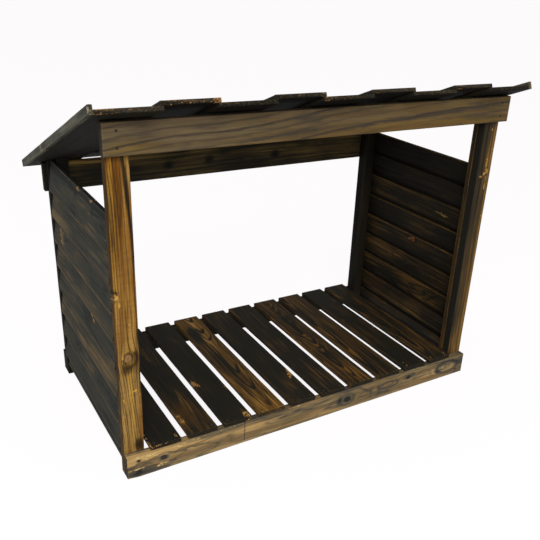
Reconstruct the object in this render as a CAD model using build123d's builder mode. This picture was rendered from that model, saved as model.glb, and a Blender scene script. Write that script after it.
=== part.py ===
from build123d import *
import os
from math import cos, radians, sin, tan

# Garden log store: four posts, two rails and two headers, a slatted floor,
# lapped boards on both sides and a board-on-board roof falling to the back.
# Millimetres. Origin on the ground under the middle of the roof, +X to the
# right, +Y to the back, +Z up. The front and the back are open.

os.makedirs("parts", exist_ok=True)

# frame
frameWidth = 1080.0          # over the outer faces of the posts
frameDepth = 572.0           # front rail's face to back rail's face
railHeight = 63.0
railThick = 20.0
postWidth = 50.0
postDepth = 24.0
battenDepth = 16.0           # nailing batten behind each post
battenSetback = 18.0         # batten's outer face in from the post's

# headers
headerThick = 20.0
headerOverhang = 8.0         # past the post on each side
frontHeaderTop = 846.2
frontHeaderHeight = 66.0
frontHeaderFlat = 18.0       # level part of the top before it follows the roof
backHeaderHeight = 76.5
backHeaderFlat = 13.2

# floor slats
slatCount = 10
slatWidth = 78.6
slatThick = 12.5
slatSetback = 3.0            # slat ends stand back from the front rail's face
slatPostGap = 9.7            # first and last slat clear of the posts

# side boards
sideBoardCount = 9
sideBottom = 33.0            # underside of the narrow lowest board
sideFirstExposure = 36.0
sideLap = 8.9                # each board over the one below
sideThick = 10.0
sideRoofGap = 1.7            # top board under the roof at the back post

# roof
roofAngle = 21.2
roofBoardThick = 9.5
roofOverhang = 47.5          # front end of the lower boards ahead of the rail
eaveOverhang = 56.4          # behind the back rail's face
roofLeftOverhang = 43.5      # past the frame
roofRightOverhang = 25.5
upperBoardCount = 4
upperBoardWidth = 127.0
upperBoardStart = 136.5      # left end of the roof to the first upper board
upperBoardEnd = 141.5        # last upper board to the right end
roofLap = 6.5                # lower board under each edge of an upper board
vergeWidth = 10.0

roofWidth = frameWidth + roofLeftOverhang + roofRightOverhang
frameShift = (roofLeftOverhang - roofRightOverhang) / 2
upperSpread = roofWidth - upperBoardStart - upperBoardEnd - upperBoardWidth
upperBoardPitch = upperSpread / (upperBoardCount - 1)
roofRise = tan(radians(roofAngle))
slopeRun = frameDepth + roofOverhang + eaveOverhang
roofBoardLength = slopeRun / cos(radians(roofAngle))
endLean = 2 * roofBoardThick * sin(radians(roofAngle))
roofFrontY = -(slopeRun + endLean) / 2
frontY = roofFrontY + roofOverhang
backY = frontY + frameDepth
leftX = frameShift - frameWidth / 2
rightX = frameShift + frameWidth / 2
slatPitch = (frameWidth - 2 * postWidth - 2 * slatPostGap - slatWidth) / (slatCount - 1)


# height of the lower roof boards' underside at a distance y
def roofUnder(y):
    seatY = frontY + frontHeaderFlat
    return frontHeaderTop - (y - seatY) * roofRise


roofPlane = Plane(
    origin=(0, roofFrontY, roofUnder(roofFrontY)),
    x_dir=(1, 0, 0),
    z_dir=(0, sin(radians(roofAngle)), cos(radians(roofAngle))),
)

# posts and the nailing battens behind them, tops cut to the fall of the roof
frontPostY = frontY + railThick
backPostY = backY - railThick - postDepth
battenWidth = postWidth - battenSetback
uprights = [
    ("post_front_left", leftX, postWidth, frontPostY, postDepth),
    ("post_front_right", rightX - postWidth, postWidth, frontPostY, postDepth),
    ("post_back_left", leftX, postWidth, backPostY, postDepth),
    ("post_back_right", rightX - postWidth, postWidth, backPostY, postDepth),
]
for frontOrBack, battenY in (("front", frontPostY + postDepth), ("back", backPostY - battenDepth)):
    for leftOrRight, battenX in (("left", leftX + battenSetback), ("right", rightX - postWidth)):
        battenName = f"batten_{frontOrBack}_{leftOrRight}"
        uprights.append((battenName, battenX, battenWidth, battenY, battenDepth))
for uprightName, uprightX, uprightWidth, uprightY, uprightDepth in uprights:
    with BuildPart() as upright:
        with BuildSketch(Plane.YZ.offset(uprightX)):
            with BuildLine():
                Polyline(
                    (uprightY, 0),
                    (uprightY + uprightDepth, 0),
                    (uprightY + uprightDepth, roofUnder(uprightY + uprightDepth)),
                    (uprightY, roofUnder(uprightY)),
                    close=True,
                )
            make_face()
        extrude(amount=uprightWidth)
    upright.part.label = uprightName
    export_step(upright.part, f"parts/{uprightName}.step")

# bottom rails on edge, nailed to the outside of the posts
railSpots = [
    ("rail_front", frontY),
    ("rail_back", backY - railThick),
]
for railName, railY in railSpots:
    with BuildPart() as rail:
        with BuildSketch(Plane.XY):
            with Locations((frameShift, railY + railThick / 2)):
                Rectangle(frameWidth, railThick)
        extrude(amount=railHeight)
    rail.part.label = railName
    export_step(rail.part, f"parts/{railName}.step")

# headers, level on top and then following the roof's underside
headerLength = frameWidth + 2 * headerOverhang
headerSpots = [
    ("header_front", frontY, frontHeaderFlat, frontHeaderHeight),
    ("header_back", backY - headerThick, backHeaderFlat, backHeaderHeight),
]
for headerName, headerY, headerFlat, headerHeight in headerSpots:
    bevelY = headerY + headerFlat
    headerTop = roofUnder(bevelY)
    with BuildPart() as header:
        with BuildSketch(Plane.YZ.offset(leftX - headerOverhang)):
            with BuildLine():
                Polyline(
                    (headerY, headerTop - headerHeight),
                    (headerY + headerThick, headerTop - headerHeight),
                    (headerY + headerThick, roofUnder(headerY + headerThick)),
                    (bevelY, headerTop),
                    (headerY, headerTop),
                    close=True,
                )
            make_face()
        extrude(amount=headerLength)
    header.part.label = headerName
    export_step(header.part, f"parts/{headerName}.step")

# floor slats lying front to back on both rails
slatLength = frameDepth - slatSetback
for slatIndex in range(slatCount):
    slatX = frameShift + (slatIndex - (slatCount - 1) / 2) * slatPitch
    slatName = f"floor_slat_{slatIndex + 1:02d}"
    with BuildPart() as slat:
        with BuildSketch(Plane.XY.offset(railHeight)):
            with Locations((slatX, frontY + slatSetback + slatLength / 2)):
                Rectangle(slatWidth, slatLength)
        extrude(amount=slatThick)
    slat.part.label = slatName
    export_step(slat.part, f"parts/{slatName}.step")

# side boards between the posts, nailed over the battens: each leans out
# from its top edge and laps over the board below
sideTop = roofUnder(backPostY) - sideRoofGap
sideExposure = (sideTop - sideLap - sideBottom - sideFirstExposure) / (sideBoardCount - 1)
boardLean = sideThick / sideExposure
sideLength = backPostY - frontPostY - postDepth
for sideName, battenFace, outward in (
    ("left", leftX + battenSetback, -1),
    ("right", rightX - battenSetback, 1),
):
    for boardIndex in range(sideBoardCount):
        boardTop = sideTop - (sideBoardCount - 1 - boardIndex) * sideExposure
        boardZ = boardTop - sideExposure - sideLap
        if boardIndex == 0:
            boardZ = sideBottom
        lowerInner = boardLean * (boardTop - boardZ)
        boardName = f"side_{sideName}_board_{boardIndex + 1}"
        with BuildPart() as board:
            with BuildSketch(Plane.XZ.offset(-(frontPostY + postDepth))):
                with BuildLine():
                    Polyline(
                        (battenFace + outward * lowerInner, boardZ),
                        (battenFace + outward * (lowerInner + sideThick), boardZ),
                        (battenFace + outward * sideThick, boardTop),
                        (battenFace, boardTop),
                        close=True,
                    )
                make_face()
            extrude(amount=-sideLength)
        board.part.label = boardName
        export_step(board.part, f"parts/{boardName}.step")

# roof: lower boards on the headers, upper boards over the joints between them
roofLeft = -roofWidth / 2
roofBoards = []
for upperIndex in range(upperBoardCount):
    upperLeft = roofLeft + upperBoardStart + upperIndex * upperBoardPitch
    roofBoards.append((f"roof_upper_{upperIndex + 1}", upperLeft, upperLeft + upperBoardWidth, 1))
lowerLeft = roofLeft + vergeWidth
for lowerIndex in range(upperBoardCount + 1):
    joint = roofLeft + upperBoardStart + lowerIndex * upperBoardPitch
    lowerRight = joint + roofLap
    if lowerIndex == upperBoardCount:
        lowerRight = -roofLeft - vergeWidth
    roofBoards.append((f"roof_lower_{lowerIndex + 1}", lowerLeft, lowerRight, 0))
    lowerLeft = joint + upperBoardWidth - roofLap
for roofName, edgeLeft, edgeRight, layer in roofBoards:
    with BuildPart() as roofBoard:
        with BuildSketch(roofPlane.offset(layer * roofBoardThick)):
            with Locations(((edgeLeft + edgeRight) / 2, roofBoardLength / 2)):
                Rectangle(edgeRight - edgeLeft, roofBoardLength)
        extrude(amount=roofBoardThick)
    roofBoard.part.label = roofName
    export_step(roofBoard.part, f"parts/{roofName}.step")

# thin strips closing the two ends of the roof
vergeSpots = [
    ("verge_left", roofLeft + vergeWidth / 2),
    ("verge_right", -roofLeft - vergeWidth / 2),
]
for vergeName, vergeX in vergeSpots:
    with BuildPart() as verge:
        with BuildSketch(roofPlane):
            with Locations((vergeX, roofBoardLength / 2)):
                Rectangle(vergeWidth, roofBoardLength)
        extrude(amount=2 * roofBoardThick)
    verge.part.label = vergeName
    export_step(verge.part, f"parts/{vergeName}.step")
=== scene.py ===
import math
import bpy
import numpy as np
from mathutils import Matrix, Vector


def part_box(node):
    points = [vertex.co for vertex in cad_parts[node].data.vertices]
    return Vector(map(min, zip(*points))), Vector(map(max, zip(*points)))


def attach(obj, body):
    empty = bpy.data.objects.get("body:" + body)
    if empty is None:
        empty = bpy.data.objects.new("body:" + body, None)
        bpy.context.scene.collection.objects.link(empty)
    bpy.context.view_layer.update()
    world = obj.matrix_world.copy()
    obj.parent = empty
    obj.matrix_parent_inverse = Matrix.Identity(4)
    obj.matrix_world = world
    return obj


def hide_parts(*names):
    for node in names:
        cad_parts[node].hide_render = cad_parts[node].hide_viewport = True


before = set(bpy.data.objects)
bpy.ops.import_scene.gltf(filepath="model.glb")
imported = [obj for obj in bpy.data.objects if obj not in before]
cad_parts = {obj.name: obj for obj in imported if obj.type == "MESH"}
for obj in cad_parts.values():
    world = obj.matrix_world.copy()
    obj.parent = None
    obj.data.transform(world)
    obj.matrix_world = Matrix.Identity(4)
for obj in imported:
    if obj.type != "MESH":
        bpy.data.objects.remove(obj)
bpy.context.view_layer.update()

# Garden log store in scorched and brushed softwood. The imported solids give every
# board its place; each board here is a new surface with its own grain, knots and
# scorching, worked out along the board from where it was cut in the log.

scene = bpy.context.scene
scene.view_settings.view_transform = "Standard"
mm = 0.001


def unit(*direction):
    d = np.array(direction, float)
    return d / np.linalg.norm(d)


# sum of five sines with seeded phases: a slow wander along x, about -1 to 1
def wander(x, seed, perMetre):
    dice = np.random.default_rng(seed)
    total = np.zeros_like(x)
    for octave in range(5):
        pitch = perMetre * (0.6 + 0.55 * octave + 0.3 * dice.random())
        total = total + np.sin(2 * math.pi * (pitch * x + dice.random())) / (1 + 0.8 * octave)
    return total / 2.1


# 0 below low, 1 above high, smooth between: 3t^2 - 2t^3
def ease(x, low, high):
    t = np.clip((x - low) / (high - low), 0, 1)
    return t * t * (3 - 2 * t)


# distance from a place on a board, 1 at its half sizes: the root of along^2 + across^2,
# each over its half size; the place may slope across the board
def reachFrom(u, v, place):
    along, across, halfLong, halfWide = [p * mm for p in place[:4]]
    slope = place[5] if len(place) > 5 else 0.0
    return np.hypot((u - along) / halfLong, (v - across - slope * (u - along)) / halfWide)


# a soft bump there: amount * e^-(distance^2)
def bump(u, v, place):
    return place[4] * np.exp(-(reachFrom(u, v, place) ** 2))


# a soft ring there: amount * e^-((distance - 1)^2 / width^2)
def ringBump(u, v, place):
    width = 0.24
    return place[4] * np.exp(-(((reachFrom(u, v, place) - 1) / width) ** 2))


# these values plus a bump, or a ring, at each of the places
def withBumps(values, u, v, places, scale=1.0, shape=bump):
    for place in places:
        values = values + scale * shape(u, v, place)
    return values


# a closed outline with its corners rounded: straight runs cut into equal steps and
# three points on each corner's arc; gives points, outward normals, distance to a corner
def roundedOutline(corners):
    radius = boardBuild["edgeRadius"]
    corners = np.array(corners, float)
    part = np.array([[0.0], [0.5], [1.0]])
    points, normals, cornerGaps = [], [], []
    for k, here in enumerate(corners):
        runIn, runOut = here - corners[k - 1], corners[(k + 1) % len(corners)] - here
        lengthOut = np.linalg.norm(runOut)
        tangentIn, tangentOut = runIn / np.linalg.norm(runIn), runOut / lengthOut
        normalIn = np.array([tangentIn[1], -tangentIn[0]])
        normalOut = np.array([tangentOut[1], -tangentOut[0]])
        turn = math.acos(np.clip(normalIn @ normalOut, -1, 1))
        setBack = radius * math.tan(turn / 2)
        arc = normalIn * np.sin((1 - part) * turn) + normalOut * np.sin(part * turn)
        arc = arc / np.linalg.norm(arc, axis=1, keepdims=True)
        run = lengthOut - 2 * setBack
        steps = max(1, round(run / boardBuild["stepAround"]))
        gap = run * np.arange(1, steps) / steps
        centre = here - tangentIn * setBack - normalIn * radius
        points += [centre + arc * radius, here + tangentOut * (setBack + gap[:, None])]
        normals += [arc, normalOut + 0 * gap[:, None]]
        cornerGaps += [0 * part[:, 0], np.minimum(gap, run - gap)]
    return np.concatenate(points), np.concatenate(normals), np.concatenate(cornerGaps)


# quads between rings of points that are numbered one ring after another
def ringQuads(rings, around):
    i, j = np.meshgrid(np.arange(rings - 1) * around, np.arange(around), indexing="ij")
    nextJ = (j + 1) % around
    return np.stack([i + j, i + nextJ, i + around + nextJ, i + around + j], -1).reshape(-1, 4)


# a mesh from points and sets of faces, each set an array with one row of corner numbers
# for each face, and whether these faces are smooth
def meshFrom(name, points, faceSets):
    corners = np.concatenate([faces.ravel() for faces, smooth in faceSets])
    totals = np.concatenate([np.full(len(faces), faces.shape[1]) for faces, smooth in faceSets])
    mesh = bpy.data.meshes.new(name)
    mesh.vertices.add(points.size // 3)
    mesh.vertices.foreach_set("co", points.reshape(-1).astype(np.float32))
    mesh.loops.add(len(corners))
    mesh.loops.foreach_set("vertex_index", corners.astype(np.int32))
    mesh.polygons.add(len(totals))
    mesh.polygons.foreach_set("loop_start", (np.cumsum(totals) - totals).astype(np.int32))
    mesh.polygons.foreach_set("loop_total", totals.astype(np.int32))
    mesh.polygons.foreach_set(
        "use_smooth", np.concatenate([np.full(len(faces), smooth) for faces, smooth in faceSets])
    )
    mesh.update(calc_edges=True)
    mesh.validate()
    return mesh


# the mesh of a board from its rings: quads between them, one flat face on each end
def tubeMesh(name, rings):
    stations, around = rings.shape[:2]
    ring = np.arange(around)
    ends = np.stack([ring[::-1], (stations - 1) * around + ring])
    return meshFrom(name, rings, [(ringQuads(stations, around), True), (ends, False)])


# one number, or a vector, for each point of a mesh
def addAttribute(mesh, name, values):
    kind, field = ("FLOAT_VECTOR", "vector") if values.ndim == 3 else ("FLOAT", "value")
    attribute = mesh.attributes.new(name, kind, "POINT")
    attribute.data.foreach_set(field, values.astype(np.float32).reshape(-1))


boardBuild = {
    "stepAlong": 4.4 * mm,
    "stepAround": 3.2 * mm,
    "edgeRadius": 1.2 * mm,
    "endRadius": 0.8 * mm,
    "endTuck": 0.3 * mm,         # how far the end faces' rims lie inside their rounding
    "endFade": 6 * mm,           # wear and hollows fade out this near to an end
    "wear": 0.3 * mm,            # how far the corners wander inwards
    "wearReach": 2.2 * mm,
    "wearPerMetre": 5.0,
    "wearSkew": 14.0,            # how much faster wear changes across than along
    "dish": 0.25 * mm,           # faces' slow hollows
    "dishPerMetre": 3.0,
    "dishSkew": 62.0,
    "knotLift": 0.25 * mm,       # how far knots stand out of the brushed wood
    "knotLong": 1.15,            # knots' length to their width
    "knotPull": (2.6, 1.7),      # how far off the grain bends, along and across
    "knotSwell": 1.5,            # knot radii within which the wood stands out
    "noKnot": 4.0,               # knot radii that count as clear of every knot
    "swayDeep": 0.6,             # the heart's sway in depth, as a share of that across
    "burnPerMetre": 2.0,
    "burnShift": 0.13,           # how far apart two boards lie in the burn's wander
    "edgeHidden": 0.8,           # share of the light edges that a face's burn and painted shade hide
    "hiddenAt": 0.45,            # face burn and painted shade that hide so much
    "seedShift": (1.37, 0.31),   # how far apart two boards lie in the grain's noise
    "grooveDepth": 0.5 * mm,
    "grooveWide": 0.7 * mm,
    "grooveFade": (3.0, 1.0),    # at its lower and upper ends
    "grooveBurn": 2.0,
    "grooveRings": (-1.4, -0.6, 0.0, 0.6, 1.4),
    "grooveClear": 1.9 * mm,     # no other ring of points nearer than this
}

# what a board is cut from, unless it says otherwise; lengths in millimetres
plainWood = {
    "seed": 1,
    "pith": (10.0, -45.0),   # where the log's heart lies: across, and behind the show face
    "ringWidth": 5.0,
    "drift": 0.0,            # heart's slope across the board
    "taper": 0.0,            # log's taper, which turns straight grain into arches
    "sway": 4.0,
    "swayPerMetre": 1.2,
    "burn": 0.5,
    "burnSwing": 0.12,
    "tone": 0.5,             # 0 pale, 1 warm
    "toneDrift": 0.0,        # how much warmer the far end is
    "tones": (),             # (along, across, half length, half width, tone change)
    # how light the edges go: partly edge wear, partly a painted highlight
    "edgeLight": 0.5,
    "edgeReach": 2.5,
    "knots": (),             # (along, across, radius, how far it pushes the grain aside)
    "eyes": (),              # (along, across, half length, half width, ring lift)
    "spots": (),             # (along, across, half length, half width, burn change, slope)
    "rims": (),              # the same for a ring of soot round a place
    "faceBurnAndShade": (0.0, 0.0, 0.0, 0.0),    # burn change, partly painted shade on undersides, inner and side faces: across +, across -, show face, back
    "capBurn": 0.0,          # burn change on the two end faces
    "rubs": (),              # (along, across, half length, half width, bare wood showing)
    "grooves": (),           # (along, lowest, highest across)
    "losses": (),            # (along, across, half length, half width, depth)
}


# where the rings of points lie along a board, closer at its ends and round grooves, how
# far each is from an end, and how far in: radius - root(radius^2 - (radius - gap)^2)
def ringPlaces(length, grooves):
    r = boardBuild["endRadius"]
    inner = np.linspace(r, length - r, max(3, int(length / boardBuild["stepAlong"])))
    u = np.concatenate([[0.0, 0.0, 0.3 * r], inner, [length - 0.3 * r, length, length]])
    for groove in grooves:
        middle = groove[0] * mm
        u = u[np.abs(u - middle) > boardBuild["grooveClear"]]
        u = np.sort(np.concatenate([u, middle + np.array(boardBuild["grooveRings"]) * mm]))
    endGap = np.minimum(u, length - u)
    inset = np.where(endGap < r, r - np.sqrt(np.maximum(r * r - (r - endGap) ** 2, 0)), 0.0)
    inset[[0, -1]] += boardBuild["endTuck"]
    return u, endGap, inset


# one board: the outline carried along its length, eased in at both ends; surface =
# outline - normal * (end easing + corner wear + slow hollows - knot swelling + saw cuts).
# Heart = place measured from the log's heart in ring widths, which wanders, drifts and
# tapers along the board; knots push the grain aside, eyes lift the rings.
def makeBoard(node, slotName, finish, wood, place, outline, length, cut=(0.0, 0.0)):
    wood = {**plainWood, **wood}
    build = boardBuild
    seed = wood["seed"]
    origin, along, across, through = place
    points, normals, cornerGaps = roundedOutline(outline)
    u, endGap, inset = ringPlaces(length, wood["grooves"])
    uu, vv = np.meshgrid(u, points[:, 0], indexing="ij")
    ww = points[:, 1] + 0 * uu

    # knots: distance in knot radii, and grain drawn from nearer the knot's middle
    knotGap = np.full_like(uu, build["noKnot"])
    grainV = vv.copy()
    pullU, pullV = build["knotPull"]
    for knotU, knotV, knotR, push in wood["knots"]:
        du = (uu - knotU * mm) / (build["knotLong"] * knotR * mm)
        dv = (vv - knotV * mm) / (knotR * mm)
        knotGap = np.minimum(knotGap, np.hypot(du, dv))
        pull = push * np.exp(-((du / pullU) ** 2) - (dv / pullV) ** 2)
        grainV -= (grainV - knotV * mm) * pull

    sway, pace = wood["sway"] * mm, wood["swayPerMetre"]
    pithV = wood["pith"][0] * mm + wood["drift"] * (uu - length / 2)
    pithV = pithV + sway * wander(uu, seed + 5, pace)
    pithW = wood["pith"][1] * mm + build["swayDeep"] * sway * wander(uu, seed + 6, pace)
    swell = withBumps(-wood["taper"] * uu, uu, vv, wood["eyes"], mm)
    heart = np.stack([grainV - pithV, ww - pithW, swell], -1) / (wood["ringWidth"] * mm)

    # burn level: the board's own, then lighter and darker places, sides and ends; the sides' share
    # is partly painted shade
    swing = wander(uu + build["burnShift"] * seed, seed + 7, build["burnPerMetre"])
    burn = wood["burn"] + wood["burnSwing"] * swing
    burn = withBumps(burn, uu, vv, wood["spots"])
    burn = withBumps(burn, uu, vv, wood["rims"], shape=ringBump)
    facing = np.stack([normals[:, 0], -normals[:, 0], normals[:, 1], -normals[:, 1]])
    faceShade = (np.array(wood["faceBurnAndShade"]) @ np.maximum(facing, 0))[None, :]
    burn = burn + faceShade
    burn[[0, -1]] += wood["capBurn"]
    tone = wood["tone"] + wood["toneDrift"] * (uu / length - 0.5)
    tone = withBumps(tone, uu, vv, wood["tones"])
    rub = withBumps(0 * uu, uu, vv, wood["rubs"])
    edge = np.exp(-cornerGaps / (wood["edgeReach"] * mm))[None, :]
    hidden = build["edgeHidden"] * ease(faceShade, 0.0, build["hiddenAt"])
    edge = edge * (1 - hidden) + 0 * uu
    endFace = 0 * uu
    endFace[[0, -1]] = 1.0

    # surface: everything that takes wood away goes inwards
    wear = wander(uu + build["wearSkew"] * vv, seed + 1, build["wearPerMetre"])
    wear = build["wear"] * np.exp(-cornerGaps / build["wearReach"]) * np.maximum(0, wear)
    dish = wander(uu + build["dishSkew"] * ww, seed + 2, build["dishPerMetre"])
    dish = build["dish"] * (0.5 + 0.5 * dish)
    knotLift = build["knotLift"] * ease(build["knotSwell"] - knotGap, 0, 1)
    sink = np.maximum(0, wear + dish - knotLift)
    sink = sink * ease(endGap, 0, build["endFade"])[:, None] + inset[:, None]
    sink = withBumps(sink, uu, vv, wood["losses"], mm)
    fadeLow, fadeHigh = build["grooveFade"]
    for grooveU, low, high in wood["grooves"]:
        groove = np.exp(-(((uu - grooveU * mm) / build["grooveWide"]) ** 2))
        groove = groove * ease(vv, low * mm, (low + fadeLow) * mm)
        groove = groove * (1 - ease(vv, (high - fadeHigh) * mm, high * mm))
        sink = sink + build["grooveDepth"] * groove
        burn = burn + build["grooveBurn"] * groove
    su = uu + (uu / length) * (cut[0] * vv + cut[1] * ww)
    sv = vv - normals[None, :, 0] * sink
    sw = ww - normals[None, :, 1] * sink
    rings = origin + su[..., None] * along + sv[..., None] * across + sw[..., None] * through

    mesh = tubeMesh(node, rings)
    shiftU, shiftV = build["seedShift"]
    grain = np.stack([uu + shiftU * seed, grainV + shiftV * seed, ww], -1)
    marks = {
        "grain": grain, "heart": heart, "knotGap": knotGap, "burn": burn, "tone": tone,
        "edge": edge * wood["edgeLight"], "rub": rub, "endFace": endFace,
    }
    for mark, values in marks.items():
        addAttribute(mesh, mark, values)
    mesh.materials.append(finish)
    board = bpy.data.objects.new(node, mesh)
    scene.collection.objects.link(board)
    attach(board, "root")
    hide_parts(node)


# a socket that takes part in arithmetic
class Wire:
    def __init__(self, finish, socket):
        self.finish = finish
        self.socket = socket

    def maths(self, operation, *values):
        inputs = dict(enumerate(values))
        return self.finish.node("ShaderNodeMath", {"operation": operation}, inputs)

    def __add__(self, other):
        return self.maths("ADD", self, other)

    def __radd__(self, other):
        return self.maths("ADD", other, self)

    def __sub__(self, other):
        return self.maths("SUBTRACT", self, other)

    def __rsub__(self, other):
        return self.maths("SUBTRACT", other, self)

    def __mul__(self, other):
        return self.maths("MULTIPLY", self, other)

    def __rmul__(self, other):
        return self.maths("MULTIPLY", other, self)

    def fraction(self):
        return self.maths("FRACT", self)

    def whole(self):
        return self.maths("FLOOR", self)

    def orMore(self, other):
        return self.maths("MAXIMUM", self, other)

    def clamped(self):
        return self.maths("MINIMUM", self, 1.0).orMore(0.0)


# an everyday screen colour, 0 to 255, as a linear one; a wire stays as it is
def paint(colour):
    if isinstance(colour, Wire):
        return colour
    c = np.array(colour) / 255
    return (*np.where(c < 0.04045, c / 12.92, ((c + 0.055) / 1.055) ** 2.4).tolist(), 1.0)


# one material and its nodes
class Finish:
    def __init__(self, name):
        self.material = bpy.data.materials.new(name)
        self.material.use_nodes = True
        self.tree = self.material.node_tree
        self.shader = self.tree.nodes["Principled BSDF"]

    # a value or a wire into a socket
    def plug(self, socket, value):
        if isinstance(value, Wire):
            self.tree.links.new(value.socket, socket)
        else:
            socket.default_value = value

    # a node of this type: settings first, then socket values or links
    def node(self, kind, settings=None, inputs=None, output=0):
        made = self.tree.nodes.new(kind)
        for key, value in (settings or {}).items():
            setattr(made, key, value)
        for key, value in (inputs or {}).items():
            self.plug(made.inputs[key], value)
        return Wire(self, made.outputs[output])

    def attribute(self, name, output="Fac"):
        return self.node("ShaderNodeAttribute", {"attribute_name": name}, output=output)

    def vector(self, operation, inputs, output=0):
        return self.node("ShaderNodeVectorMath", {"operation": operation}, inputs, output)

    def noise(self, place, stretch, detail=2.0, roughness=0.55):
        place = self.vector("MULTIPLY", {0: place, 1: stretch})
        inputs = {"Vector": place, "Scale": 1.0, "Detail": detail, "Roughness": roughness}
        return self.node("ShaderNodeTexNoise", {}, inputs)

    def alongLine(self, value):
        inputs = {"W": value, "Scale": 1.0, "Detail": 1.0}
        return self.node("ShaderNodeTexNoise", {"noise_dimensions": "1D"}, inputs)

    def step(self, value, low, high):
        inputs = {"Value": value, "From Min": low, "From Max": high}
        return self.node("ShaderNodeMapRange", {"interpolation_type": "SMOOTHSTEP"}, inputs)

    def mix(self, factor, first, second):
        inputs = {0: factor, 6: paint(first), 7: paint(second)}
        return self.node("ShaderNodeMix", {"data_type": "RGBA"}, inputs, 2)

    def feed(self, socketName, value):
        self.plug(self.shader.inputs[socketName], value)


# the values over which each mask rises from 0 to 1
woodMasks = {
    "boldRing": (0.34, 0.62),
    "ringEnd": (0.95, 1.0),
    "lateShows": (0.75, 1.15),
    "offKnot": (0.9, 2.4),
    "burnt": (0.20, 0.95),
    "sooty": (0.95, 1.5),
    "warm": (0.5, 1.1),
    "golden": (0.54, 0.70),
    "notAmber": (0.36, 0.52),
    "scratch": (0.60, 0.72),
    "pastKnot": (0.82, 1.0),
    "knotRing": (0.25, 0.9),
    "pastKnotHeart": (0.05, 0.3),
    "haloFrom": (1.05, 1.3),
    "haloTo": (1.5, 2.2),
    "haloShows": (0.7, 1.2),
    "rimFrom": (0.72, 0.95),
    "rimTo": (1.02, 1.3),
    "rimShows": (0.3, 0.55),
    "rubbed": (0.40, 0.8),
    "rubbedRaw": (0.8, 1.15),
    "cornerWearAndHighlight": (0.45, 0.95),
}
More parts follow.
